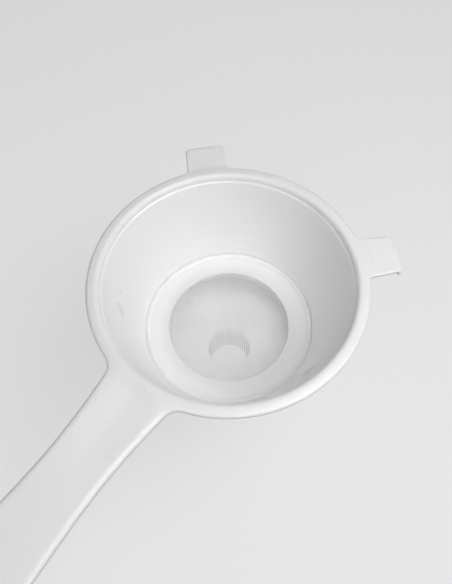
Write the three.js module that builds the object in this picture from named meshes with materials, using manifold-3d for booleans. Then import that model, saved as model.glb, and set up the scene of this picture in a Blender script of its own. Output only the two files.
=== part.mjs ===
// Double sieve strainer for honey. A handled bowl holds a coarse sieve insert at its foot, and a
// push-on lower funnel holds a fine sieve insert under the bowl's collar.
//
// Millimetres, +Z up. The origin is on the bowl's axis, level with the undersides of the two lugs,
// which rest on the vessel's rim. +X runs along the handle.

import * as THREE from 'three';
import { mergeVertices } from 'three/addons/utils/BufferGeometryUtils.js';
import Module from 'manifold-3d';

const wasm = await Module();
wasm.setup();

// ---- Driving dimensions ----------------------------------------------------------------------

const GAP = 0.3; // between pieces that sit on or in each other
const WALL = 2; // moulded wall thickness
const EDGE = 0.6; // broken edge on flanges and rings
const ROUND = 1.5; // rounding of the larger moulded edges
const FACETS = 64; // round every turned piece
const ARC_STEPS = 3; // along each rounded stretch of a profile
const OUTLINE_STEPS = 4; // along each curve of a plan outline

// Rim: a broad rounded bead whose inner side drops to a groove above the bowl's wall
const RIM_R = 75;
const RIM_EDGE_TOP = 1.4; // top of the upright outer edge
const BEAD_R = 70.8; // crest of the bead
const BEAD_Z = 3.3;
const GROOVE_R = 67.9;
const GROOVE_Z = -0.6;
const RIM_FILLET = 2; // between the bowl's outside and the rim's underside

// Bowl's inner wall, a cone
const BOWL_TOP_R = 66.9;
const BOWL_TOP_Z = -1.3;
const BOWL_FOOT_R = 51.6;
const BOWL_FOOT_Z = -49.8;

// Seat for the coarse sieve, and the collar below it
const SEAT_R = 50.3;
const SEAT_TOP_Z = -52.2;
const SEAT_Z = -55.5;
const COLLAR_BORE_R = 43;
const COLLAR_R = COLLAR_BORE_R + WALL;
const COLLAR_END_Z = -69.5;

// Handle: a flat inverted channel with a shallow valley along its top
const HANDLE_TOP = 2.4;
const HANDLE_HEIGHT = 4.8;
const HANDLE_WALL = 2.2;
const HANDLE_ROOT_X = 60; // its outline's root, before the bowl's inside is cut away
const HANDLE_FILLET = 9; // between its sides and the rim's edge
const HANDLE_NECK_HALF = 18.4; // half-width where the fillets end
const HANDLE_END_R = 18.5; // round end
const HANDLE_LENGTH = 222; // from the bowl's axis
const HANG_HOLE_R = 5.5;
const HANG_HOLE_FROM_END = 13;
const VALLEY_HALF = 13;
const VALLEY_DEPTH = 1.1;
const VALLEY_LENGTH = 118;
// Half-width along the handle, which narrows to a waist and widens towards the hand
const HANDLE_SIDE = [
  [90, 17.2],
  [105, 16.1],
  [120, 15.6],
  [135, 15.9],
  [150, 16.7],
  [175, 18.1],
  [HANDLE_LENGTH - HANDLE_END_R, HANDLE_END_R]
];

// Lugs: flat tabs either side of the point opposite the handle, each with a turned-down lip
const LUG_ANGLES = { left: 135.5, right: -135.5 }; // degrees from the handle
const LUG_THICK = 2.2;
const LUG_END_R = 92.8;
const LUG_ROOT_R = 70;
const LUG_ROOT_HALF = 12;
const LUG_END_HALF = 11.3;
const LUG_CORNER = 2.2;
const LUG_FILLET = 3; // between its sides and the rim's edge
const LIP_DROP = 3.7; // below the lug's underside
const LIP_THICK = 2;
const LIP_FILLET = 0.8;

// Coarse sieve insert
const COARSE_OPEN_R = 36;
const COARSE_RING_R = SEAT_R - GAP;
const COARSE_LIP_Z = -52.5; // top of the ring's raised outer lip
const COARSE_LIP_WIDTH = 2;
const COARSE_RING_OUTER_Z = -53;
const COARSE_RING_INNER_Z = -53.5;
const COARSE_PLATE_UNDER_Z = -54.1;
const COARSE_MESH_THICK = 0.6;
const COARSE_MESH_GAP = 0.25;
const COARSE_SKIRT_R = COLLAR_BORE_R - GAP;
const COARSE_SKIRT_THICK = 1.5;
const COARSE_SKIRT_Z = -57.6;

// Fine sieve insert
const FINE_OPEN_R = 36.4;
const FINE_TOP_Z = COLLAR_END_Z - GAP;
const FINE_PLATE_THICK = 1.3;
const FINE_MESH_THICK = 0.45;
const FINE_RECESS_R = 41.6;
const FINE_HEIGHT = 3.8;

// Lower funnel
const SOCKET_R = COLLAR_R + GAP;
const SOCKET_TOP_Z = -57.9;
const FLANGE_R = 50.5;
const FLANGE_THICK = 2;
const LEDGE_Z = FINE_TOP_Z - FINE_HEIGHT - GAP;
const LEDGE_R = 41;
const OUTLET_R = 13.4;
const OUTLET_Z = -88.3;
const SPOUT_END_R = 12.2;
const SPOUT_END_Z = -112;
const FUNNEL_WALL = 1.8;
const NECK_ROUND = 2; // where the cone turns into the spout

// ---- Materials -------------------------------------------------------------------------------

const plastic = (name, color, roughness) =>
  new THREE.MeshStandardMaterial({ name, color, roughness, metalness: 0 });

const BOWL_WHITE = plastic('bowl_white', 0xececea, 0.28);
const RING_WHITE = plastic('ring_white', 0xeeeeec, 0.35);
const FUNNEL_WHITE = plastic('funnel_white', 0xe6e6e3, 0.3);
const COARSE_NYLON = plastic('coarse_nylon', 0xdcdcda, 0.5);
const FINE_NYLON = plastic('fine_nylon', 0xd4d4d2, 0.55);

// ---- Solids ----------------------------------------------------------------------------------

function toSolid(geometry) {
  geometry.deleteAttribute('normal');
  geometry.deleteAttribute('uv');
  const merged = mergeVertices(geometry, 1e-4);
  return new wasm.Manifold(
    new wasm.Mesh({
      numProp: 3,
      vertProperties: merged.attributes.position.array,
      triVerts: Uint32Array.from(merged.index.array),
    }),
  );
}

function toGeometry(solid) {
  const { vertProperties, triVerts } = solid.getMesh();
  const geometry = new THREE.BufferGeometry();
  geometry.setAttribute('position', new THREE.BufferAttribute(vertProperties, 3));
  geometry.setIndex(new THREE.BufferAttribute(triVerts, 1));
  geometry.computeVertexNormals();
  return geometry;
}

// Turns a closed profile round +Z. It runs anticlockwise in (radius, height).
function turned(profile) {
  profile.closePath();
  return toSolid(new THREE.LatheGeometry(profile.getPoints(ARC_STEPS), FACETS).rotateX(Math.PI / 2));
}

function disc(radius, thickness, topZ) {
  const geometry = new THREE.CylinderGeometry(radius, radius, thickness, FACETS);
  return toSolid(geometry.rotateX(Math.PI / 2).translate(0, 0, topZ - thickness / 2));
}

// The outline's points, without the doubled ones where two curves meet
function cleanOutline(shape) {
  const points = shape.getPoints(OUTLINE_STEPS);
  const apart = points.filter((point, i) => point.distanceTo(points.at(i - 1)) > 0.01);
  return new THREE.Shape(apart);
}

// A plan outline raised from one height to another
function raised(shape, fromZ, toZ, bevel = 0) {
  const geometry = new THREE.ExtrudeGeometry(cleanOutline(shape), {
    depth: toZ - fromZ - 2 * bevel,
    bevelEnabled: bevel > 0,
    bevelSize: bevel,
    bevelOffset: -bevel,
    bevelThickness: bevel,
    bevelSegments: 3,
  });
  return toSolid(geometry.translate(0, 0, fromZ + bevel));
}

// A polygon in (x, z), given width along Y
function slab(shape, width) {
  const geometry = new THREE.ExtrudeGeometry(shape, { depth: width, bevelEnabled: false });
  return toSolid(geometry.rotateX(Math.PI / 2).translate(0, width / 2, 0));
}

// ---- Strainer bowl ---------------------------------------------------------------------------

// Radius in the bowl's conical wall at a height: depth 0 is its inner face and 1 its outer face
function wallRadius(z, depth) {
  const slope = (BOWL_TOP_R - BOWL_FOOT_R) / (BOWL_TOP_Z - BOWL_FOOT_Z);
  return BOWL_FOOT_R + slope * (z - BOWL_FOOT_Z) + depth * WALL * Math.hypot(1, slope);
}

function bowlOfRevolution() {
  const outside = (z) => wallRadius(z, 1);
  const underZ = SEAT_Z - WALL;
  const p = new THREE.Path();
  p.moveTo(COLLAR_BORE_R, COLLAR_END_Z);
  p.lineTo(COLLAR_R, COLLAR_END_Z);
  p.lineTo(COLLAR_R, underZ);
  p.lineTo(outside(underZ) - ROUND, underZ);
  p.quadraticCurveTo(outside(underZ), underZ, outside(underZ + ROUND), underZ + ROUND);
  p.lineTo(outside(-RIM_FILLET), -RIM_FILLET);
  p.quadraticCurveTo(outside(0), 0, outside(0) + RIM_FILLET, 0);
  p.lineTo(RIM_R - EDGE, 0);
  p.lineTo(RIM_R, EDGE);
  p.lineTo(RIM_R, RIM_EDGE_TOP);
  p.quadraticCurveTo(RIM_R, BEAD_Z, BEAD_R, BEAD_Z);
  p.quadraticCurveTo(GROOVE_R, BEAD_Z, GROOVE_R, GROOVE_Z);
  p.lineTo(BOWL_TOP_R, BOWL_TOP_Z);
  p.lineTo(BOWL_FOOT_R, BOWL_FOOT_Z);
  p.quadraticCurveTo(SEAT_R, SEAT_TOP_Z + EDGE, SEAT_R, SEAT_TOP_Z);
  p.lineTo(SEAT_R, SEAT_Z);
  p.lineTo(COLLAR_BORE_R, SEAT_Z);
  return turned(p);
}

// The handle's plan outline, moved inwards by inset. Its root fillets touch the rim's circle.
function handleOutline(inset) {
  const filletY = HANDLE_NECK_HALF + HANDLE_FILLET;
  const filletX = Math.sqrt((RIM_R + HANDLE_FILLET) ** 2 - filletY ** 2);
  const filletR = HANDLE_FILLET + inset;
  const rootHalf = (filletY * RIM_R) / (RIM_R + HANDLE_FILLET) - inset;
  const start = Math.PI - Math.asin((filletY - rootHalf) / filletR);
  const handEndX = HANDLE_LENGTH - HANDLE_END_R;
  const side = (way) => HANDLE_SIDE.map(([x, half]) => new THREE.Vector2(x, way * (half - inset)));
  const s = new THREE.Shape();
  s.moveTo(HANDLE_ROOT_X, rootHalf);
  s.lineTo(HANDLE_ROOT_X, -rootHalf);
  s.absarc(filletX, -filletY, filletR, start, Math.PI / 2, true);
  s.splineThru(side(-1));
  s.absarc(handEndX, 0, HANDLE_END_R - inset, -Math.PI / 2, Math.PI / 2, false);
  s.splineThru(side(1).reverse().slice(1));
  s.absarc(filletX, filletY, filletR, -Math.PI / 2, -start, true);
  return s;
}

// A V-shaped wedge, deepest at the neck, which runs out along the handle
function valley() {
  const s = new THREE.Shape();
  s.moveTo(-VALLEY_HALF, VALLEY_DEPTH);
  s.lineTo(0, 0);
  s.lineTo(VALLEY_HALF, VALLEY_DEPTH);
  const geometry = new THREE.ExtrudeGeometry(s, { depth: VALLEY_LENGTH, bevelEnabled: false });
  geometry.rotateX(Math.PI / 2).rotateZ(Math.PI / 2);
  geometry.rotateY(-Math.atan(VALLEY_DEPTH / VALLEY_LENGTH));
  return toSolid(geometry.translate(RIM_R + 3, 0, HANDLE_TOP - VALLEY_DEPTH));
}

// A cone through the middle of the bowl's wall, where the handle's root ends
function rootCone() {
  const p = new THREE.Path();
  p.moveTo(0, -HANDLE_HEIGHT);
  p.lineTo(wallRadius(-HANDLE_HEIGHT, 0.5), -HANDLE_HEIGHT);
  p.lineTo(wallRadius(HANDLE_HEIGHT, 0.5), HANDLE_HEIGHT);
  p.lineTo(0, HANDLE_HEIGHT);
  return turned(p);
}

function handle() {
  const bottomZ = HANDLE_TOP - HANDLE_HEIGHT;
  const block = raised(handleOutline(0), bottomZ - 2 * ROUND, HANDLE_TOP, ROUND);
  const channel = raised(handleOutline(HANDLE_WALL), bottomZ - WALL, HANDLE_TOP - HANDLE_WALL);
  const belowFloor = toSolid(
    new THREE.BoxGeometry(2 * HANDLE_LENGTH, 4 * HANDLE_END_R, 20).translate(0, 0, bottomZ - 10),
  );
  const hole = disc(HANG_HOLE_R, 20, 10).translate([HANDLE_LENGTH - HANG_HOLE_FROM_END, 0, 0]);
  return [belowFloor, channel, valley(), hole, rootCone()].reduce(
    (solid, cutter) => solid.subtract(cutter),
    block,
  );
}

function lug(angle) {
  const lipR = LUG_END_R - LIP_THICK;
  const side = new THREE.Shape();
  side.moveTo(LUG_ROOT_R, 0);
  side.lineTo(lipR - LIP_FILLET, 0);
  side.quadraticCurveTo(lipR, 0, lipR, -LIP_FILLET);
  side.lineTo(lipR, -LIP_DROP);
  side.lineTo(LUG_END_R, -LIP_DROP);
  side.lineTo(LUG_END_R, LUG_THICK - ROUND);
  side.quadraticCurveTo(LUG_END_R, LUG_THICK, LUG_END_R - ROUND, LUG_THICK);
  side.lineTo(LUG_ROOT_R, LUG_THICK);

  const neckX = RIM_R + LUG_FILLET;
  const rootY = LUG_ROOT_HALF + LUG_FILLET;
  const rimX = Math.sqrt(RIM_R ** 2 - rootY ** 2);
  const plan = new THREE.Shape();
  plan.moveTo(LUG_ROOT_R, -rootY);
  plan.lineTo(rimX, -rootY);
  plan.quadraticCurveTo(RIM_R - EDGE, -LUG_ROOT_HALF, neckX, -LUG_ROOT_HALF);
  plan.lineTo(LUG_END_R - LUG_CORNER, -LUG_END_HALF);
  plan.quadraticCurveTo(LUG_END_R, -LUG_END_HALF, LUG_END_R, LUG_CORNER - LUG_END_HALF);
  plan.lineTo(LUG_END_R, LUG_END_HALF - LUG_CORNER);
  plan.quadraticCurveTo(LUG_END_R, LUG_END_HALF, LUG_END_R - LUG_CORNER, LUG_END_HALF);
  plan.lineTo(neckX, LUG_ROOT_HALF);
  plan.quadraticCurveTo(RIM_R - EDGE, LUG_ROOT_HALF, rimX, rootY);
  plan.lineTo(LUG_ROOT_R, rootY);

  return slab(side, 4 * LUG_ROOT_HALF)
    .intersect(raised(plan, -2 * LIP_DROP, 2 * LUG_THICK))
    .rotate([0, 0, angle]);
}

function strainerBowl() {
  return bowlOfRevolution()
    .add(handle())
    .add(lug(LUG_ANGLES.left))
    .add(lug(LUG_ANGLES.right));
}

// ---- Coarse sieve insert ---------------------------------------------------------------------

function coarseSieveRing() {
  const p = new THREE.Path();
  p.moveTo(COARSE_OPEN_R, COARSE_PLATE_UNDER_Z);
  p.lineTo(COARSE_SKIRT_R - COARSE_SKIRT_THICK, COARSE_PLATE_UNDER_Z);
  p.lineTo(COARSE_SKIRT_R - COARSE_SKIRT_THICK, COARSE_SKIRT_Z);
  p.lineTo(COARSE_SKIRT_R, COARSE_SKIRT_Z);
  p.lineTo(COARSE_SKIRT_R, SEAT_Z + GAP);
  p.lineTo(COARSE_RING_R, SEAT_Z + GAP);
  p.lineTo(COARSE_RING_R, COARSE_LIP_Z - EDGE);
  p.lineTo(COARSE_RING_R - EDGE, COARSE_LIP_Z);
  p.lineTo(COARSE_RING_R - COARSE_LIP_WIDTH + EDGE, COARSE_LIP_Z);
  p.lineTo(COARSE_RING_R - COARSE_LIP_WIDTH, COARSE_RING_OUTER_Z);
  p.lineTo(COARSE_OPEN_R + EDGE, COARSE_RING_INNER_Z);
  return turned(p);
}

function coarseMesh() {
  const radius = COARSE_SKIRT_R - COARSE_SKIRT_THICK - GAP;
  return disc(radius, COARSE_MESH_THICK, COARSE_PLATE_UNDER_Z - COARSE_MESH_GAP);
}

// A flat ring of rectangular section that presses up under a mesh
function clampRing(innerR, outerR, bottomZ, topZ) {
  const p = new THREE.Path();
  p.moveTo(innerR, bottomZ);
  p.lineTo(outerR - EDGE, bottomZ);
  p.lineTo(outerR, bottomZ + EDGE);
  p.lineTo(outerR, topZ);
  p.lineTo(innerR, topZ);
  return turned(p);
}

function coarseClampRing() {
  const topZ = COARSE_PLATE_UNDER_Z - COARSE_MESH_THICK - 2 * COARSE_MESH_GAP;
  const outerR = COARSE_SKIRT_R - COARSE_SKIRT_THICK - GAP;
  return clampRing(COARSE_OPEN_R, outerR, COARSE_SKIRT_Z, topZ);
}

// ---- Fine sieve insert -----------------------------------------------------------------------

function fineSieveRing() {
  const plateUnderZ = FINE_TOP_Z - FINE_PLATE_THICK;
  const bottomZ = FINE_TOP_Z - FINE_HEIGHT;
  const p = new THREE.Path();
  p.moveTo(FINE_OPEN_R, plateUnderZ);
  p.lineTo(FINE_RECESS_R, plateUnderZ);
  p.lineTo(FINE_RECESS_R, bottomZ);
  p.lineTo(COLLAR_R, bottomZ);
  p.lineTo(COLLAR_R, FINE_TOP_Z);
  p.lineTo(FINE_OPEN_R + EDGE, FINE_TOP_Z);
  p.lineTo(FINE_OPEN_R, FINE_TOP_Z - EDGE);
  return turned(p);
}

function fineMesh() {
  return disc(FINE_RECESS_R - GAP, FINE_MESH_THICK, FINE_TOP_Z - FINE_PLATE_THICK - GAP);
}

function fineClampRing() {
  const topZ = FINE_TOP_Z - FINE_PLATE_THICK - FINE_MESH_THICK - 2 * GAP;
  return clampRing(FINE_OPEN_R, FINE_RECESS_R - GAP, FINE_TOP_Z - FINE_HEIGHT, topZ);
}

// ---- Lower funnel ----------------------------------------------------------------------------

function lowerFunnel() {
  const skirtR = SOCKET_R + WALL;
  const coneUnder = LEDGE_Z - FUNNEL_WALL;
  const neckR = OUTLET_R + FUNNEL_WALL;
  const neckZ = OUTLET_Z - FUNNEL_WALL;
  const slope = (LEDGE_Z - OUTLET_Z) / (LEDGE_R - OUTLET_R);
  const flangeUnder = SOCKET_TOP_Z - FLANGE_THICK;
  const p = new THREE.Path();
  p.moveTo(SPOUT_END_R, SPOUT_END_Z);
  p.lineTo(SPOUT_END_R + FUNNEL_WALL, SPOUT_END_Z);
  p.lineTo(neckR, neckZ - NECK_ROUND);
  p.quadraticCurveTo(neckR, neckZ, neckR + NECK_ROUND, neckZ + slope * NECK_ROUND);
  p.lineTo(LEDGE_R, coneUnder);
  p.lineTo(skirtR - ROUND, coneUnder);
  p.quadraticCurveTo(skirtR, coneUnder, skirtR, coneUnder + ROUND);
  p.lineTo(skirtR, flangeUnder);
  p.lineTo(FLANGE_R - EDGE, flangeUnder);
  p.lineTo(FLANGE_R, flangeUnder + EDGE);
  p.lineTo(FLANGE_R, SOCKET_TOP_Z - EDGE);
  p.lineTo(FLANGE_R - EDGE, SOCKET_TOP_Z);
  p.lineTo(SOCKET_R, SOCKET_TOP_Z);
  p.lineTo(SOCKET_R, LEDGE_Z);
  p.lineTo(LEDGE_R, LEDGE_Z);
  p.lineTo(OUTLET_R + NECK_ROUND, OUTLET_Z + slope * NECK_ROUND);
  p.quadraticCurveTo(OUTLET_R, OUTLET_Z, OUTLET_R, OUTLET_Z - NECK_ROUND);
  return turned(p);
}

// ---- Assembly --------------------------------------------------------------------------------

function piece(name, solid, material) {
  const mesh = new THREE.Mesh(toGeometry(solid), material);
  mesh.name = name;
  return mesh;
}

const coarseSieve = new THREE.Group();
coarseSieve.add(piece('coarse_sieve_ring', coarseSieveRing(), RING_WHITE));
coarseSieve.add(piece('coarse_mesh', coarseMesh(), COARSE_NYLON));
coarseSieve.add(piece('coarse_clamp_ring', coarseClampRing(), RING_WHITE));

const fineSieve = new THREE.Group();
fineSieve.add(piece('fine_sieve_ring', fineSieveRing(), RING_WHITE));
fineSieve.add(piece('fine_mesh', fineMesh(), FINE_NYLON));
fineSieve.add(piece('fine_clamp_ring', fineClampRing(), RING_WHITE));

const group = new THREE.Group();
group.add(piece('strainer_bowl', strainerBowl(), BOWL_WHITE));
group.add(coarseSieve);
group.add(piece('lower_funnel', lowerFunnel(), FUNNEL_WHITE));
group.add(fineSieve);

export default group;
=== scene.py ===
import math

import bpy
import numpy as np
from mathutils import Matrix, Vector
from mathutils.geometry import delaunay_2d_cdt


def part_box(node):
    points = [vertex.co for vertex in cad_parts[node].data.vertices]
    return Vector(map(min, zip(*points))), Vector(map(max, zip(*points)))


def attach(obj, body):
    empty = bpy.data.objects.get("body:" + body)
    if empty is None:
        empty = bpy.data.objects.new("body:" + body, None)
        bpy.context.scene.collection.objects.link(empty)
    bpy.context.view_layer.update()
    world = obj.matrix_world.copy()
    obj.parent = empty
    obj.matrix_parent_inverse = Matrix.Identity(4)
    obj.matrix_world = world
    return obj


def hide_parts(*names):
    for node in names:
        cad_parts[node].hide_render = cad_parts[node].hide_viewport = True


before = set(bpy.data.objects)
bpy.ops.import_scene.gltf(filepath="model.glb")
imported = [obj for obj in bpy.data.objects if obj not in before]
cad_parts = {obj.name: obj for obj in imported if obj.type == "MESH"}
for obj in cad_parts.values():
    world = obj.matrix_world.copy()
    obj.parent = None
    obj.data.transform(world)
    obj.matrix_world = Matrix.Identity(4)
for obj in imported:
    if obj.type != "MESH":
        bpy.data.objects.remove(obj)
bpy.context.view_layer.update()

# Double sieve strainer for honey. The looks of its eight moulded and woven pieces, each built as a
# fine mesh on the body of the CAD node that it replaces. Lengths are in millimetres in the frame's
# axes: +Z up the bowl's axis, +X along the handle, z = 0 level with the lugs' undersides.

MM = 0.001


def node_box(node):
    """Lowest and highest corner of a CAD node, in millimetres."""
    low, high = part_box(node)
    return low / MM, high / MM


BOWL_LOW, BOWL_HIGH = node_box("strainer_bowl")
COARSE_LOW, COARSE_HIGH = node_box("coarse_sieve_ring")
COARSE_MESH_LOW, COARSE_MESH_HIGH = node_box("coarse_mesh")
COARSE_CLAMP_LOW, COARSE_CLAMP_HIGH = node_box("coarse_clamp_ring")
FINE_LOW, FINE_HIGH = node_box("fine_sieve_ring")
FINE_MESH_LOW, FINE_MESH_HIGH = node_box("fine_mesh")
FINE_CLAMP_LOW, FINE_CLAMP_HIGH = node_box("fine_clamp_ring")
FUNNEL_LOW, FUNNEL_HIGH = node_box("lower_funnel")

# ---- Dimensions ------------------------------------------------------------------------------

COLUMNS = 360  # round the bowl: one a degree
RING_COLUMNS = 240  # round the smaller turned pieces
HOLE_COLUMNS = 48
BOWL_STRETCH = 3.0  # longest stretch of the bowl's and funnel's profiles
RING_STRETCH = 2.0
HANDLE_STRETCH = 1.6  # longest stretch of a tab's outline
LUG_STRETCH = 1.0
HANDLE_GRID = 2.0  # between the points inside a tab's top and underside
LUG_GRID = 1.5
ARC_STEPS = 4  # along each rounded corner of a profile
ROUNDING_STEPS = 7  # over a tab's top edge
GAP = 0.3  # between pieces that sit on or in each other
WALL = 2.0
EDGE = 0.45  # rounding of the rings' and flanges' edges

# Rim: a broad rounded bead whose inner side drops to a groove above the bowl's wall
RIM_R = BOWL_HIGH.y
RIM_EDGE_TOP = 1.4
RIM_EDGE_ROUND = 0.55
BEAD_R = 70.8
BEAD_Z = BOWL_HIGH.z
GROOVE_R = 67.9
GROOVE_Z = -0.6
RIM_FILLET = 2.0
JOIN_R = 71.0  # inside it the bowl is turned, and outside it the tabs' tops begin
UNDER_JOIN_R = 71.6  # the same on the rim's underside

# Bowl's wall, seat and collar
BOWL_TOP_R = 66.9
BOWL_TOP_Z = -1.3
BOWL_FOOT_R = 51.6
BOWL_FOOT_Z = -49.8
FOOT_ROUND = 3.0
SEAT_R = 50.3
SEAT_TOP_Z = -52.2
SEAT_Z = -55.5
COLLAR_BORE_R = 43.0
COLLAR_R = COLLAR_BORE_R + WALL

# Handle
HANDLE_LENGTH = BOWL_HIGH.x
HANDLE_TOP = 2.4
HANDLE_BOTTOM = HANDLE_TOP - 4.8
HANDLE_ROOF = 0.2  # the channel's roof, under the handle's top
HANDLE_FILLET = 9.0
HANDLE_NECK_HALF = 18.4
HANDLE_END_R = 18.5
HANDLE_SECTOR = 20  # columns of the bowl either side that the handle takes up
HANDLE_SIDE = [  # half-width along the handle
    (90.0, 17.2),
    (105.0, 16.1),
    (120.0, 15.6),
    (135.0, 15.9),
    (150.0, 16.7),
    (175.0, 18.1),
    (HANDLE_LENGTH - HANDLE_END_R, HANDLE_END_R),
]
HANG_HOLE_R = 5.5
HANG_HOLE_X = HANDLE_LENGTH - 13.0
HANG_HOLE_ROUND = 0.7
HANDLE_RISE = 9.0  # from the join to where the handle's top has its own height
HANDLE_BLEND = (1.0, 15.0)  # along the outline, from the rim's edge to the handle's
VALLEY_HALF = 13.0  # a shallow valley down the middle of the handle's root
VALLEY_DEPTH = 1.1
VALLEY_SOFT = 0.7  # how far the valley's crease is rounded
VALLEY_START = (71.5, 76.0)
VALLEY_END = (96.0, 138.0)

# Lugs
LUG_ANGLES = {"left": 135.5, "right": -135.5}  # degrees from the handle
LUG_TOP = 2.2
LUG_END_R = 92.8
LUG_ROOT_HALF = 12.0
LUG_END_HALF = 11.3
LUG_CORNER = 2.4
LUG_FILLET = 3.0
LUG_SECTOR = 12.5
LUG_RISE = 6.5
LUG_BLEND = (0.5, 5.5)
LIP_DROP = 3.7
LIP_BLEND = (LUG_END_R - 3.4, LUG_END_R - 1.6)
TAB_FADE = (0.65, 0.95)  # of a tab's sector, where its top falls off to the rim's

# Sieves
COARSE_OUT = 0.24  # the coarse ring takes up most of the gap round it and over its edge
COARSE_UP = 0.15
COARSE_OPEN_R = 36.0
COARSE_PITCH = 1.3
COARSE_WIRE = 0.36
FINE_OPEN_R = 36.4
FINE_PITCH = 0.7
FINE_WIRE = 0.16
WEAVE_TURN = math.radians(34.4)  # from the handle to the first wires of both meshes

# Camera: where it stands from the rim's centre, and how it is turned from pointing at it
CAMERA_DISTANCE = 317.0
CAMERA_ELEVATION = math.radians(60.19)
CAMERA_AZIMUTH = math.radians(36.44)
CAMERA_ROLL = math.radians(1.02)
CAMERA_PAN = math.radians(0.2)
CAMERA_TILT = math.radians(1.18)
CAMERA_LENS = 37.0
CAMERA_SENSOR = 36.0
RIM_CENTRE_Z = 1.5

# Plastic
WHITE_SPREAD = 0.985  # the darker of its two whites, as a share of the lighter
FLOW_SCALE = 22.0  # per metre
RIPPLE_SCALE = 260.0
RIPPLE_DEPTH = 0.0002

# Light and floor
WORLD_ABOVE = 0.165
WORLD_BELOW = 0.42
LIGHTS_AIM = Vector((0, 0, -0.02))
FUNNEL_GLOW = 0.004  # watts
FLOOR_SIZE = 12
FLOOR_GREY = 0.35
FLOOR_DROP = 80.0  # under the spout, so that the funnel can be pulled off
FLOOR_GLOW = 0.55

# ---- Mesh building ---------------------------------------------------------------------------


def smoothstep(value, low, high):
    """0 at or below low, 1 at or above high, and an S-curve between."""
    t = min(max((value - low) / (high - low), 0.0), 1.0)
    return t * t * (3.0 - 2.0 * t)


def mixed(a, b, weight):
    return a + (b - a) * weight


class Surface:
    """Points and faces of one mesh, in millimetres."""

    def __init__(self):
        self.points = []
        self.faces = []

    def point(self, x, y, z):
        self.points.append((x, y, z))
        return len(self.points) - 1

    def bridge(self, lower, upper, closed):
        """Quads between two rows of points, the first of which comes first along the profile."""
        count = len(lower)
        for i in range(count if closed else count - 1):
            j = (i + 1) % count
            self.faces.append((lower[i], lower[j], upper[j], upper[i]))

    def to_object(self, name):
        mesh = bpy.data.meshes.new(name)
        mesh.from_pydata([Vector(p) * MM for p in self.points], [], self.faces)
        mesh.validate()
        mesh.polygons.foreach_set("use_smooth", [True] * len(mesh.polygons))
        piece = bpy.data.objects.new(name, mesh)
        bpy.context.scene.collection.objects.link(piece)
        normals = piece.modifiers.new("even_normals", "WEIGHTED_NORMAL")
        normals.weight = 80
        return piece


def curve(start, control, end, steps):
    """Points of a quadratic curve, both ends included."""
    points = []
    for k in range(steps + 1):
        t = k / steps
        points.append(
            tuple((1 - t) ** 2 * a + 2 * t * (1 - t) * b + t * t * c for a, b, c in zip(start, control, end))
        )
    return points


def arc(centre, radius, start, end, steps):
    """Points of an arc between two angles in radians, both ends included."""
    angles = [mixed(start, end, k / steps) for k in range(steps + 1)]
    return [(centre[0] + radius * math.cos(a), centre[1] + radius * math.sin(a)) for a in angles]


def rounded(corners):
    """A closed profile through corners (radius, height, rounding), with each corner made an arc."""
    points = []
    for i, (r, z, rounding) in enumerate(corners):
        here = Vector((r, z))
        if rounding == 0:
            points.append((r, z))
            continue
        back = (Vector(corners[i - 1][:2]) - here).normalized()
        ahead = (Vector(corners[(i + 1) % len(corners)][:2]) - here).normalized()
        half = back.angle(ahead) / 2
        centre = here + (back + ahead).normalized() * rounding / math.sin(half)
        start = here + back * rounding / math.tan(half) - centre
        end = here + ahead * rounding / math.tan(half) - centre
        turn = start.angle_signed(end)
        for k in range(ARC_STEPS + 1):
            step = start.copy()
            step.rotate(Matrix.Rotation(-turn * k / ARC_STEPS, 2))
            points.append(tuple(centre + step))
    return points


def spaced(outline, longest):
    """An open outline with its long stretches cut into shorter ones."""
    points = []
    for here, ahead in zip(outline, outline[1:]):
        parts = max(1, math.ceil(math.dist(here, ahead) / longest))
        points += [tuple(mixed(a, b, k / parts) for a, b in zip(here, ahead)) for k in range(parts)]
    return points + [outline[-1]]


def split_long(profile, longest):
    """The closed profile with its long straight stretches cut into shorter ones."""
    return spaced(profile + profile[:1], longest)[:-1]


def turned(name, profile):
    """A closed profile, anticlockwise in (radius, height), turned round +Z."""
    surface = Surface()
    rows = [ring(surface, r, z) for r, z in profile]
    for lower, upper in zip(rows, rows[1:] + rows[:1]):
        surface.bridge(lower, upper, closed=True)
    return surface.to_object(name)


def ring(surface, r, z):
    turns = [2 * math.pi * k / RING_COLUMNS for k in range(RING_COLUMNS)]
    return [surface.point(r * math.cos(a), r * math.sin(a), z) for a in turns]


# ---- Strainer bowl: profile ------------------------------------------------------------------


def wall_radius(z, depth):
    """Radius in the bowl's conical wall: depth 0 is its inner face and 1 its outer face."""
    slope = (BOWL_TOP_R - BOWL_FOOT_R) / (BOWL_TOP_Z - BOWL_FOOT_Z)
    return BOWL_FOOT_R + slope * (z - BOWL_FOOT_Z) + depth * WALL * math.hypot(1, slope)


def rim_section():
    """The rim's edge as (distance in from the edge, height), from its underside to its top."""
    under = [(d, 0.0) for d in (2.8, 2.4, 2.15, 1.9, 1.6, 1.2, RIM_EDGE_ROUND)]
    edge = [(0.16, 0.16), (0.0, RIM_EDGE_ROUND)]
    bead = curve((0, RIM_EDGE_TOP), (0, BEAD_Z), (RIM_R - BEAD_R, BEAD_Z), 12)[:9]
    return under + edge + bead


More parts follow.
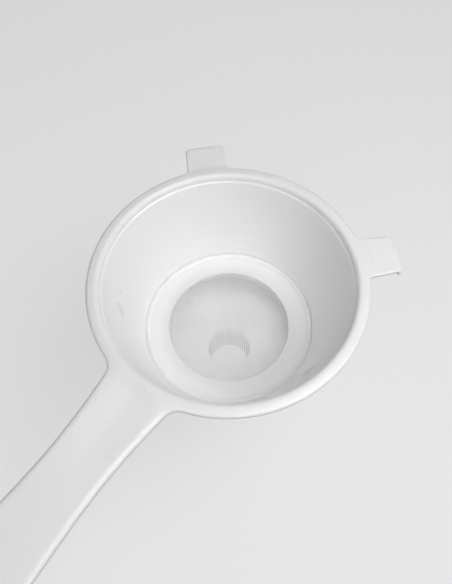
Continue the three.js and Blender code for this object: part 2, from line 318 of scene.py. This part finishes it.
def bowl_profile():
    """The bowl's closed profile, less the rim's edge: the stretches below it and inside it."""
    under_z = SEAT_Z - WALL
    end_z = BOWL_LOW.z
    corners = [
        (COLLAR_BORE_R, SEAT_Z, 0.4),
        (COLLAR_BORE_R, end_z, EDGE),
        (COLLAR_R, end_z, EDGE),
        (COLLAR_R, under_z, 0.5),
        (wall_radius(under_z, 1), under_z, 1.5),
        (wall_radius(0, 1), 0.0, RIM_FILLET),
        (UNDER_JOIN_R + 1, 0.0, 0),
        (GROOVE_R, 2 * BEAD_Z, 0),
        (GROOVE_R, GROOVE_Z, 0.25),
        (BOWL_TOP_R, BOWL_TOP_Z, 0.35),
        (BOWL_FOOT_R, BOWL_FOOT_Z, FOOT_ROUND),
        (SEAT_R, SEAT_TOP_Z, 0.3),
        (SEAT_R, SEAT_Z, 0.3),
    ]
    points = rounded(corners)
    turn = points.index((UNDER_JOIN_R + 1, 0.0))
    below = points[:turn] + [(UNDER_JOIN_R, 0.0)]
    crest = (BEAD_R, BEAD_Z)
    shoulder = curve(crest, (GROOVE_R, BEAD_Z), (GROOVE_R, GROOVE_Z + 0.4), 14)
    within = [(JOIN_R, BEAD_Z)] + shoulder + points[turn + 2 :]
    return below, within


# ---- Strainer bowl: the handle and lugs, as tabs that the rim's edge runs out into ------------


def rim_fillet(fillet, half, sector):
    """The rim's edge from the sector's side to a tab, and the fillet between them."""
    centre_y = half + fillet
    centre_x = math.sqrt((RIM_R + fillet) ** 2 - centre_y**2)
    touch = math.atan2(centre_y, centre_x)
    on_rim = arc((0, 0), RIM_R, -math.radians(sector), -touch, 2)
    bend = arc((centre_x, -centre_y), fillet, math.pi - touch, math.pi / 2, 12)
    return on_rim + bend[1:]


def through(points, steps):
    """A smooth curve through points in turn, as a Catmull-Rom spline."""
    ends = [points[0]] + points + [points[-1]]
    result = []
    for i in range(len(points) - 1):
        before, start, end, after = ends[i : i + 4]
        for k in range(steps):
            t = k / steps
            weights = (
                -0.5 * t + t * t - 0.5 * t**3,
                1 - 2.5 * t * t + 1.5 * t**3,
                0.5 * t + 2 * t * t - 1.5 * t**3,
                -0.5 * t * t + 0.5 * t**3,
            )
            knots = (before, start, end, after)
            result.append(tuple(sum(w * p[c] for w, p in zip(weights, knots)) for c in (0, 1)))
    return result + [points[-1]]


def both_sides(half_outline):
    """A tab's outline from its right half, which ends on the tab's middle line."""
    return half_outline + [(x, -y) for x, y in reversed(half_outline[:-1])]


def handle_outline():
    root = rim_fillet(HANDLE_FILLET, HANDLE_NECK_HALF, HANDLE_SECTOR)
    side = through([root[-1]] + [(x, -half) for x, half in HANDLE_SIDE], 14)
    end = arc((HANDLE_LENGTH - HANDLE_END_R, 0), HANDLE_END_R, -math.pi / 2, 0, 20)
    return both_sides(spaced(root + side[1:] + end[1:], HANDLE_STRETCH))


def lug_outline():
    root = rim_fillet(LUG_FILLET, LUG_ROOT_HALF, LUG_SECTOR)
    corner_centre = (LUG_END_R - LUG_CORNER, LUG_CORNER - LUG_END_HALF)
    corner = arc(corner_centre, LUG_CORNER, -math.pi / 2, 0, 8)
    return both_sides(spaced(root + corner + [(LUG_END_R, 0)], LUG_STRETCH))


def top_rounding(width, drop, inner):
    """A tab's top edge as (distance in, height from the tab's top), from its side to its flat."""
    angles = [math.pi / 2 * k / ROUNDING_STEPS for k in range(ROUNDING_STEPS + 1)]
    edge = [(width * (1 - math.sin(a)), -drop * (1 - math.cos(a))) for a in reversed(angles)]
    return edge + [(inner, 0.0)]


def handle_section():
    """The handle's edge, as points (distance in, height) of its underside and then of its top."""
    under = [
        (2.8, HANDLE_ROOF),
        (2.45, HANDLE_ROOF - 0.08),
        (2.28, HANDLE_ROOF - 0.4),
        (2.2, HANDLE_BOTTOM + 0.5),
        (2.05, HANDLE_BOTTOM + 0.14),
        (1.7, HANDLE_BOTTOM),
        (0.6, HANDLE_BOTTOM),
        (0.16, HANDLE_BOTTOM + 0.16),
        (0.0, HANDLE_BOTTOM + 0.6),
    ]
    return under, top_rounding(3.0, 1.7, 3.4)


def lug_section():
    under = [(d, 0.0) for d in (2.2, 2.0, 1.75, 1.5, 1.2, 0.8, 0.3)] + [(0.08, 0.08), (0.0, 0.3)]
    return under, top_rounding(0.9, 0.9, 2.1)


def lip_section():
    under = [
        (2.2, 0.0),
        (2.05, -0.2),
        (1.98, -0.7),
        (1.9, 0.4 - LIP_DROP),
        (1.78, 0.12 - LIP_DROP),
        (1.5, -LIP_DROP),
        (0.5, -LIP_DROP),
        (0.14, 0.14 - LIP_DROP),
        (0.0, 0.5 - LIP_DROP),
    ]
    return under, top_rounding(1.3, 1.2, 2.1)


class Tab:
    """A handle or lug: its outline in its own frame, its edge's section and its top's height."""

    def __init__(self, angle, sector, outline, sections, share, level, roof, step, hole=None):
        self.angle = angle
        self.sector = sector
        self.outline = outline
        self.sections = sections
        self.share = share
        self.level = level
        self.roof = roof
        self.step = step
        self.hole = hole


def tab_share(r, turn, reach, sector):
    """How far the top's height has gone from the rim's to the tab's, at a radius and angle."""
    start, finish = (math.radians(sector) * share for share in TAB_FADE)
    return smoothstep(r, JOIN_R, JOIN_R + reach) * (1 - smoothstep(abs(turn), start, finish))


def handle_level(x, y):
    share = tab_share(math.hypot(x, y), math.atan2(y, x), HANDLE_RISE, HANDLE_SECTOR)
    start = smoothstep(x, *VALLEY_START)
    finish = 1 - smoothstep(x, *VALLEY_END)
    off_middle = math.hypot(y, VALLEY_SOFT) - VALLEY_SOFT
    dip = max(0.0, 1 - off_middle / VALLEY_HALF)
    shoulder = dip * dip * (3 - 2 * dip) if dip < 0.15 else dip
    return mixed(BEAD_Z, HANDLE_TOP, share) - VALLEY_DEPTH * start * finish * shoulder


def lug_level(x, y):
    share = tab_share(math.hypot(x, y), math.atan2(y, x), LUG_RISE, LUG_SECTOR)
    return mixed(BEAD_Z, LUG_TOP, share)


def handle_roof(x, y):
    return HANDLE_ROOF * smoothstep(math.hypot(x, y), UNDER_JOIN_R, RIM_R + 2)


def lug_roof(x, y):
    return 0.0


def along(outline):
    """The distance along an outline at each of its points."""
    total = [0.0]
    for here, ahead in zip(outline, outline[1:]):
        total.append(total[-1] + math.dist(here, ahead))
    return total


def handle_share(x, y, travelled, left):
    """How much of each of the handle's sections there is at a point of its outline."""
    return (smoothstep(min(travelled, left), *HANDLE_BLEND),)


def lug_share(x, y, travelled, left):
    root = smoothstep(min(travelled, left), *LUG_BLEND)
    lip = smoothstep(x, *LIP_BLEND)
    return (root, lip)


def inward_normals(outline):
    """Unit normals to the left of an outline, which are into the tab."""
    normals = []
    for i in range(len(outline)):
        before = Vector(outline[max(i - 1, 0)])
        after = Vector(outline[min(i + 1, len(outline) - 1)])
        normals.append((after - before).normalized().orthogonal())
    return normals


def tab_section(tab, shares, rim):
    """The edge's section at one point of the outline, and how many of its points are underneath."""
    under_count = len(tab.sections[0][0])
    section = [(d, z if i < under_count else z - BEAD_Z) for i, (d, z) in enumerate(rim)]
    for share, (under, top) in zip(shares, tab.sections):
        section = [
            (mixed(d, d_tab, share), mixed(z, z_tab, share))
            for (d, z), (d_tab, z_tab) in zip(section, under + top)
        ]
    return section, under_count


def tab_edge(surface, tab, columns, rim):
    """Rows of points round the tab's outline, between the rows of the rim's edge at its ends."""
    turn = math.radians(tab.angle)
    travelled = along(tab.outline)
    rows = [[] for _ in rim]
    samples = list(zip(tab.outline, inward_normals(tab.outline), travelled))
    for (x, y), normal, distance in samples[1:-1]:
        shares = tab.share(x, y, distance, travelled[-1] - distance)
        section, under_count = tab_section(tab, shares, rim)
        for i, (d, z) in enumerate(section):
            px = x + normal.x * d
            py = y + normal.y * d
            height = z if i < under_count else z + tab.level(px, py)
            rows[i].append(surface.point(*about_axis(px, py, turn), height))
    return [[start] + row + [end] for (start, end), row in zip(columns, rows)]


def about_axis(x, y, turn):
    return x * math.cos(turn) - y * math.sin(turn), x * math.sin(turn) + y * math.cos(turn)


def hole_rows(surface, tab):
    """Rows of points down through the tab's hole, from its top to its underside."""
    if tab.hole is None:
        return []
    x, radius, rounding = tab.hole
    top = tab.level(x, 0)
    under = tab.roof(x, 0)
    steps = 5
    angles = [math.pi / 2 * k / steps for k in range(steps + 1)]
    wall = [(radius + rounding * (1 - math.sin(a)), top - rounding * (1 - math.cos(a))) for a in angles]
    wall += [(r, top + under - z) for r, z in reversed(wall)]
    rows = []
    for r, z in wall:
        around = [2 * math.pi * k / HOLE_COLUMNS for k in range(HOLE_COLUMNS)]
        rows.append([surface.point(x + r * math.cos(a), r * math.sin(a), z) for a in around])
    for upper, lower in zip(rows, rows[1:]):
        surface.bridge(upper, lower, closed=True)
    return rows


def fill(surface, tab, loop, hole, height, upward):
    """Fills the tab's top or underside inside a loop of points, at a height for each place."""
    turn = math.radians(tab.angle)
    flat = [Vector(about_axis(*surface.points[i][:2], -turn)) for i in loop]
    hole_flat = [Vector(about_axis(*surface.points[i][:2], -turn)) for i in hole]
    known = loop + hole
    edges = [(i, (i + 1) % len(loop)) for i in range(len(loop))]
    edges += [(len(loop) + i, len(loop) + (i + 1) % len(hole)) for i in range(len(hole))]
    inner = inner_points(flat, hole_flat, tab.step)
    points, _, faces, originals, _, _ = delaunay_2d_cdt(flat + hole_flat + inner, edges, [], 0, 1e-6, True)
    index = []
    for point, original in zip(points, originals):
        known_index = [known[i] for i in original if i < len(known)]
        if known_index:
            index.append(known_index[0])
        else:
            index.append(surface.point(*about_axis(*point, turn), height(*point)))
    for face in faces:
        middle = sum((points[i] for i in face), Vector((0, 0))) / 3
        if inside(middle, flat) and not (hole_flat and inside(middle, hole_flat)):
            corners = [index[i] for i in face]
            surface.faces.append(tuple(corners if upward else reversed(corners)))


def inside(point, loop):
    """Whether a point is inside a closed loop, by the crossings of a ray along +X."""
    x, y = point
    crossings = 0
    for a, b in zip(loop, loop[1:] + loop[:1]):
        if (a.y > y) != (b.y > y) and x < a.x + (b.x - a.x) * (y - a.y) / (b.y - a.y):
            crossings += 1
    return crossings % 2 == 1


def inner_points(loop, hole, step):
    """Points a step apart inside a loop and outside a hole, with one row on the middle line."""
    edge = np.array([tuple(p) for p in loop + hole])
    low, high = edge.min(0), edge.max(0)
    points = []
    for row in range(-int(high[1] / step) - 1, int(high[1] / step) + 2):
        y = row * step * math.sqrt(3) / 2
        shift = step / 2 if row % 2 else 0.0
        for x in np.arange(low[0] + shift, high[0], step):
            clear = np.hypot(edge[:, 0] - x, edge[:, 1] - y).min() > 0.6 * step
            if clear and inside((x, y), loop) and not (hole and inside((x, y), hole)):
                points.append(Vector((x, y)))
    return points


def tabs():
    handle = Tab(
        angle=0,
        sector=HANDLE_SECTOR,
        outline=handle_outline(),
        sections=[handle_section()],
        share=handle_share,
        level=handle_level,
        roof=handle_roof,
        step=HANDLE_GRID,
        hole=(HANG_HOLE_X, HANG_HOLE_R, HANG_HOLE_ROUND),
    )
    lugs = [
        Tab(
            angle=angle,
            sector=LUG_SECTOR,
            outline=lug_outline(),
            sections=[lug_section(), lip_section()],
            share=lug_share,
            level=lug_level,
            roof=lug_roof,
            step=LUG_GRID,
        )
        for angle in LUG_ANGLES.values()
    ]
    return [handle] + lugs


def bowl_rows(surface, profile, edge_rows, taken):
    """Rows of points round the bowl by column, less those that tabs take from the rim's edge."""
    rows = []
    for i, (r, z) in enumerate(profile):
        row = {}
        for k in range(COLUMNS):
            if i in edge_rows and k in taken:
                continue
            a = math.radians(k)
            row[k] = surface.point(r * math.cos(a), r * math.sin(a), z)
        rows.append(row)
    return rows


def bowl_faces(surface, rows):
    for lower, upper in zip(rows, rows[1:] + rows[:1]):
        for k in range(COLUMNS):
            j = (k + 1) % COLUMNS
            corners = [row.get(c) for row, c in ((lower, k), (lower, j), (upper, j), (upper, k))]
            if None not in corners:
                surface.faces.append(tuple(corners))


def strainer_bowl():
    """The bowl, its handle and its lugs, which are one moulding."""
    surface = Surface()
    rim = rim_section()
    below, within = bowl_profile()
    all_tabs = tabs()
    edge = [(RIM_R - d, z) for d, z in rim]
    profile = spaced(below, BOWL_STRETCH) + edge + spaced(within, BOWL_STRETCH)
    edge_start = profile.index(edge[0])
    edge_rows = range(edge_start, edge_start + len(rim))
    taken = {column for tab in all_tabs for column in tab_columns(tab)[1:-1]}
    rows = bowl_rows(surface, profile, edge_rows, taken)
    bowl_faces(surface, rows)
    for tab in all_tabs:
        add_tab(surface, tab, rows, edge_rows, rim)
    return surface.to_object("bowl_moulding")


def tab_columns(tab):
    """The bowl's columns that the tab takes the place of, and one more at either side."""
    first = round(tab.angle - tab.sector)
    last = round(tab.angle + tab.sector)
    return [column % COLUMNS for column in range(first, last + 1)]


def add_tab(surface, tab, rows, edge_rows, rim):
    """Runs the rim's edge out round a tab, and fills the tab's top and underside."""
    span = tab_columns(tab)
    ends = [(rows[i][span[0]], rows[i][span[-1]]) for i in edge_rows]
    edge = tab_edge(surface, tab, ends, rim)
    for lower, upper in zip(edge, edge[1:]):
        surface.bridge(lower, upper, closed=False)
    hole = hole_rows(surface, tab)
    over = [rows[edge_rows[-1] + 1][k] for k in span]
    below = [rows[edge_rows[0] - 1][k] for k in span]
    top_hole = hole[0] if hole else []
    under_hole = hole[-1] if hole else []
    fill(surface, tab, edge[-1] + over[::-1], top_hole, tab.level, upward=True)
    fill(surface, tab, edge[0] + below[::-1], under_hole, tab.roof, upward=False)


# ---- Sieves and funnel -----------------------------------------------------------------------


def coarse_sieve_ring():
    r = COARSE_HIGH.x + COARSE_OUT
    top = COARSE_HIGH.z + COARSE_UP
    skirt_r = 42.7
    skirt_in = skirt_r - 1.5
    lip_in = r - 2.0
    seat_z = SEAT_Z + GAP
    plate_under = COARSE_MESH_HIGH.z + 0.25
    corners = [
        (COARSE_OPEN_R, plate_under, 0.12),
        (skirt_in, plate_under, 0),
        (skirt_in, COARSE_LOW.z, 0.3),
        (skirt_r, COARSE_LOW.z, 0.3),
        (skirt_r, seat_z, 0.2),
        (r, seat_z, 0.3),
        (r, top, 0.15),
        (lip_in, top, 0.6),
        (lip_in - 1.0, COARSE_HIGH.z - 0.5, 0.6),
        (COARSE_OPEN_R + 0.4, COARSE_HIGH.z - 1.0, 0.35),
    ]
    return turned("coarse_ring_moulding", split_long(rounded(corners), RING_STRETCH))


def clamp_ring(name, low, high, inner_r):
    corners = [
        (inner_r, low.z, EDGE),
        (high.x, low.z, EDGE),
        (high.x, high.z, 0.2),
        (inner_r, high.z, 0.2),
    ]
    return turned(name, split_long(rounded(corners), RING_STRETCH))


def fine_sieve_ring():
    r = FINE_HIGH.x
    recess_r = 41.6
    plate_under = FINE_MESH_HIGH.z + GAP
    corners = [
        (FINE_OPEN_R, plate_under, 0.12),
        (recess_r, plate_under, 0),
        (recess_r, FINE_LOW.z, 0.3),
        (r, FINE_LOW.z, EDGE),
        (r, FINE_HIGH.z, EDGE),
        (FINE_OPEN_R + 0.3, FINE_HIGH.z, 0.4),
    ]
    return turned("fine_ring_moulding", split_long(rounded(corners), RING_STRETCH))


def lower_funnel():
    wall = 1.8
    socket_r = COLLAR_R + GAP
    skirt_r = socket_r + WALL
    ledge_r = 41.0
    ledge_z = FINE_LOW.z - GAP
    outlet_r = 13.4
    outlet_z = -88.3
    spout_r = 12.2
    flange_under = FUNNEL_HIGH.z - 2.0
    corners = [
        (spout_r, FUNNEL_LOW.z, 0.4),
        (spout_r + wall, FUNNEL_LOW.z, 0.6),
        (outlet_r + wall, outlet_z - wall, 3.0),
        (ledge_r, ledge_z - wall, 1.5),
        (skirt_r, ledge_z - wall, 1.5),
        (skirt_r, flange_under, 0.5),
        (FUNNEL_HIGH.x, flange_under, 0.6),
        (FUNNEL_HIGH.x, FUNNEL_HIGH.z, 0.6),
        (socket_r, FUNNEL_HIGH.z, 0.5),
        (socket_r, ledge_z, 0.2),
        (ledge_r, ledge_z, 0.4),
        (outlet_r, outlet_z, 2.5),
    ]
    return turned("funnel_moulding", split_long(rounded(corners), BOWL_STRETCH))


class Weave:
    """A square plain weave: its wires' spacing and thickness, and how finely they are drawn."""

    def __init__(self, pitch, wire, per_pitch, sides):
        self.pitch = pitch
        self.wire = wire
        self.per_pitch = per_pitch
        self.sides = sides


def woven(name, low, high, weave):
    """A weave of round wires cut to a disc, in the middle of a CAD mesh's box."""
    surface = Surface()
    count = int(high.x / weave.pitch)
    for way in (0, 1):
        for line in range(-count, count + 1):
            half = math.sqrt(max(high.x**2 - (line * weave.pitch) ** 2, 0.0))
            steps = int(half / weave.pitch * weave.per_pitch)
            if steps >= 2:
                add_wire(surface, weave, way, line, steps)
    piece = surface.to_object(name)
    piece.location.z = (low.z + high.z) / 2 * MM
    return piece


def add_wire(surface, weave, way, line, steps):
    """One closed wire, which goes over and under the wires across it."""
    thick = weave.wire / 2
    across = line * weave.pitch
    rows = []
    for k in range(-steps, steps + 1):
        run = k / weave.per_pitch
        height = thick * math.cos(math.pi * (run + line + way))
        run *= weave.pitch
        row = []
        for side in range(weave.sides):
            a = 2 * math.pi * (side + 0.5) / weave.sides
            offset = thick * math.cos(a)
            x, y = (run, across + offset) if way == 0 else (across - offset, run)
            row.append(surface.point(*about_axis(x, y, WEAVE_TURN), height + thick * math.sin(a)))
        rows.append(row)
    for lower, upper in zip(rows, rows[1:]):
        surface.bridge(lower, upper, closed=True)
    surface.faces.append(tuple(reversed(rows[0])))
    surface.faces.append(tuple(rows[-1]))


# ---- Materials -------------------------------------------------------------------------------


def noise(nodes, links, place, scale, detail):
    texture = nodes.new("ShaderNodeTexNoise")
    texture.inputs["Scale"].default_value = scale
    texture.inputs["Detail"].default_value = detail
    links.new(place.outputs["Object"], texture.inputs["Vector"])
    return texture.outputs["Fac"]


def ramp(nodes, links, value, low, high):
    """The middle of a noise's range stretched from low to high."""
    stretch = nodes.new("ShaderNodeMapRange")
    stretch.inputs["From Min"].default_value = 0.3
    stretch.inputs["From Max"].default_value = 0.7
    stretch.inputs["To Min"].default_value = low
    stretch.inputs["To Max"].default_value = high
    links.new(value, stretch.inputs["Value"])
    return stretch.outputs["Result"]


def plastic(name, white, roughness, roughness_spread, ripple, translucency):
    """Moulded white polypropylene with faint flow marks, fine ripple and uneven gloss."""
    material = bpy.data.materials.new(name)
    material.use_nodes = True
    nodes = material.node_tree.nodes
    links = material.node_tree.links
    shader = nodes["Principled BSDF"]
    shader.inputs["IOR"].default_value = 1.49
    shader.inputs["Subsurface Weight"].default_value = 1.0
    shader.inputs["Subsurface Radius"].default_value = (1.0, 1.0, 1.0)
    shader.inputs["Subsurface Scale"].default_value = translucency * MM
    place = nodes.new("ShaderNodeTexCoord")

    flow = noise(nodes, links, place, FLOW_SCALE, 3.0)
    mix = nodes.new("ShaderNodeMix")
    mix.data_type = "RGBA"
    mix.inputs["A"].default_value = (white, white, white, 1.0)
    mix.inputs["B"].default_value = (*(white * WHITE_SPREAD for _ in range(3)), 1.0)
    links.new(ramp(nodes, links, flow, 0.0, 1.0), mix.inputs["Factor"])
    links.new(mix.outputs["Result"], shader.inputs["Base Color"])

    gloss = ramp(nodes, links, flow, roughness - roughness_spread, roughness + roughness_spread)
    links.new(gloss, shader.inputs["Roughness"])

    bump = nodes.new("ShaderNodeBump")
    bump.inputs["Strength"].default_value = ripple
    bump.inputs["Distance"].default_value = RIPPLE_DEPTH
    links.new(noise(nodes, links, place, RIPPLE_SCALE, 2.0), bump.inputs["Height"])
    links.new(bump.outputs["Normal"], shader.inputs["Normal"])
    return material


def dress(piece, material, body, node):
    piece.data.materials.append(material)
    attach(piece, body)
    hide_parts(node)


# ---- Camera, light and floor -----------------------------------------------------------------


def camera():
    data = bpy.data.cameras.new("camera")
    data.lens = CAMERA_LENS
    data.sensor_fit = "VERTICAL"
    data.sensor_height = CAMERA_SENSOR
    data.clip_start = 0.01
    data.clip_end = 50.0
    eye = bpy.data.objects.new("camera", data)
    bpy.context.scene.collection.objects.link(eye)
    flat = CAMERA_DISTANCE * math.cos(CAMERA_ELEVATION)
    up = CAMERA_DISTANCE * math.sin(CAMERA_ELEVATION)
    position = Vector(
        (flat * math.cos(CAMERA_AZIMUTH), flat * math.sin(CAMERA_AZIMUTH), up + RIM_CENTRE_Z)
    )
    level = Matrix.Rotation(CAMERA_AZIMUTH + math.pi / 2, 4, "Z")
    pitched = Matrix.Rotation(math.pi / 2 - CAMERA_ELEVATION, 4, "X")
    pan = Matrix.Rotation(CAMERA_PAN, 4, "Y")
    tilt = Matrix.Rotation(-CAMERA_TILT, 4, "X")
    roll = Matrix.Rotation(-CAMERA_ROLL, 4, "Z")
    eye.matrix_world = Matrix.Translation(position * MM) @ level @ pitched @ pan @ tilt @ roll
    bpy.context.scene.camera = eye


def area_light(name, shape, size, power):
    data = bpy.data.lights.new(name, "AREA")
    data.shape = shape
    data.size = size
    data.energy = power
    lamp = bpy.data.objects.new(name, data)
    bpy.context.scene.collection.objects.link(lamp)
    return lamp


def softbox(name, azimuth, elevation, distance, size, power):
    """A square light that points at the bowl's mouth, with its angles in degrees."""
    lamp = area_light(name, "SQUARE", size, power)
    a = math.radians(azimuth)
    e = math.radians(elevation)
    lamp.location = LIGHTS_AIM + distance * Vector(
        (math.cos(e) * math.cos(a), math.cos(e) * math.sin(a), math.sin(e))
    )
    lamp.rotation_euler = (LIGHTS_AIM - lamp.location).to_track_quat("-Z", "Y").to_euler()


def glow_in_funnel():
    """A faint downward lamp under the fine mesh, for the light that comes through the thin walls."""
    lamp = area_light("glow", "DISK", 68 * MM, FUNNEL_GLOW)
    lamp.location.z = (FINE_LOW.z + 0.5) * MM
    lamp.visible_camera = False
    lamp.visible_glossy = False


def surroundings():
    """Dim light from above and more from below, as off a table, and plain white to the camera."""
    world = bpy.data.worlds.new("studio")
    bpy.context.scene.world = world
    world.use_nodes = True
    nodes = world.node_tree.nodes
    links = world.node_tree.links
    background = nodes["Background"]
    background.inputs["Color"].default_value = (1, 1, 1, 1)
    place = nodes.new("ShaderNodeTexCoord")
    split = nodes.new("ShaderNodeSeparateXYZ")
    links.new(place.outputs["Generated"], split.inputs["Vector"])
    height = nodes.new("ShaderNodeMapRange")
    height.inputs["From Min"].default_value = -0.25
    height.inputs["From Max"].default_value = 0.15
    height.inputs["To Min"].default_value = WORLD_BELOW
    height.inputs["To Max"].default_value = WORLD_ABOVE
    links.new(split.outputs["Z"], height.inputs["Value"])
    ray = nodes.new("ShaderNodeLightPath")
    seen = nodes.new("ShaderNodeMix")
    seen.inputs["B"].default_value = 1.0
    links.new(ray.outputs["Is Camera Ray"], seen.inputs["Factor"])
    links.new(height.outputs["Result"], seen.inputs["A"])
    links.new(seen.outputs["Result"], background.inputs["Strength"])


def lights():
    surroundings()
    softbox("key", azimuth=96, elevation=62, distance=0.6, size=0.35, power=2.3)
    softbox("near_fill", azimuth=36, elevation=42, distance=0.9, size=0.8, power=1.6)
    softbox("far_fill", azimuth=216, elevation=50, distance=0.9, size=0.8, power=0.3)
    glow_in_funnel()


def floor():
    """A plain pale floor, whose even glow the camera sees but which doesn't light the strainer."""
    height = (FUNNEL_LOW.z - FLOOR_DROP) * MM
    bpy.ops.mesh.primitive_plane_add(size=FLOOR_SIZE, location=(0, 0, height))
    ground = bpy.context.object
    ground.name = "floor"
    material = bpy.data.materials.new("floor_pale")
    material.use_nodes = True
    shader = material.node_tree.nodes["Principled BSDF"]
    shader.inputs["Base Color"].default_value = (FLOOR_GREY, FLOOR_GREY, FLOOR_GREY, 1)
    shader.inputs["Roughness"].default_value = 0.9
    shader.inputs["Emission Color"].default_value = (1, 1, 1, 1)
    shader.inputs["Emission Strength"].default_value = FLOOR_GLOW
    ground.data.materials.append(material)
    ground.visible_diffuse = False
    ground.visible_glossy = False


# ---- Assembly --------------------------------------------------------------------------------


def assemble():
    bowl_white = plastic("bowl_white", 0.96, 0.32, 0.05, 0.04, 1.2)
    ring_white = plastic("ring_white", 0.97, 0.36, 0.05, 0.06, 1.2)
    funnel_white = plastic("funnel_white", 0.97, 0.2, 0.04, 0.05, 3.0)
    coarse_nylon = plastic("coarse_nylon", 0.98, 0.35, 0.05, 0.02, 0.3)
    fine_nylon = plastic("fine_nylon", 0.98, 0.4, 0.05, 0.02, 0.3)

    dress(strainer_bowl(), bowl_white, "bowl", "strainer_bowl")
    dress(coarse_sieve_ring(), ring_white, "coarse_sieve", "coarse_sieve_ring")
    coarse_clamp = clamp_ring("coarse_clamp_moulding", COARSE_CLAMP_LOW, COARSE_CLAMP_HIGH, COARSE_OPEN_R)
    dress(coarse_clamp, ring_white, "coarse_sieve", "coarse_clamp_ring")
    dress(fine_sieve_ring(), ring_white, "fine_sieve", "fine_sieve_ring")
    fine_clamp = clamp_ring("fine_clamp_moulding", FINE_CLAMP_LOW, FINE_CLAMP_HIGH, FINE_OPEN_R)
    dress(fine_clamp, ring_white, "fine_sieve", "fine_clamp_ring")
    dress(lower_funnel(), funnel_white, "funnel", "lower_funnel")

    coarse_weave = Weave(COARSE_PITCH, COARSE_WIRE, per_pitch=2, sides=6)
    coarse = woven("coarse_weave", COARSE_MESH_LOW, COARSE_MESH_HIGH, coarse_weave)
    dress(coarse, coarse_nylon, "coarse_sieve", "coarse_mesh")
    fine_weave = Weave(FINE_PITCH, FINE_WIRE, per_pitch=1, sides=4)
    fine = woven("fine_weave", FINE_MESH_LOW, FINE_MESH_HIGH, fine_weave)
    dress(fine, fine_nylon, "fine_sieve", "fine_mesh")


bpy.context.scene.view_settings.view_transform = "Standard"
camera()
lights()
floor()
assemble()
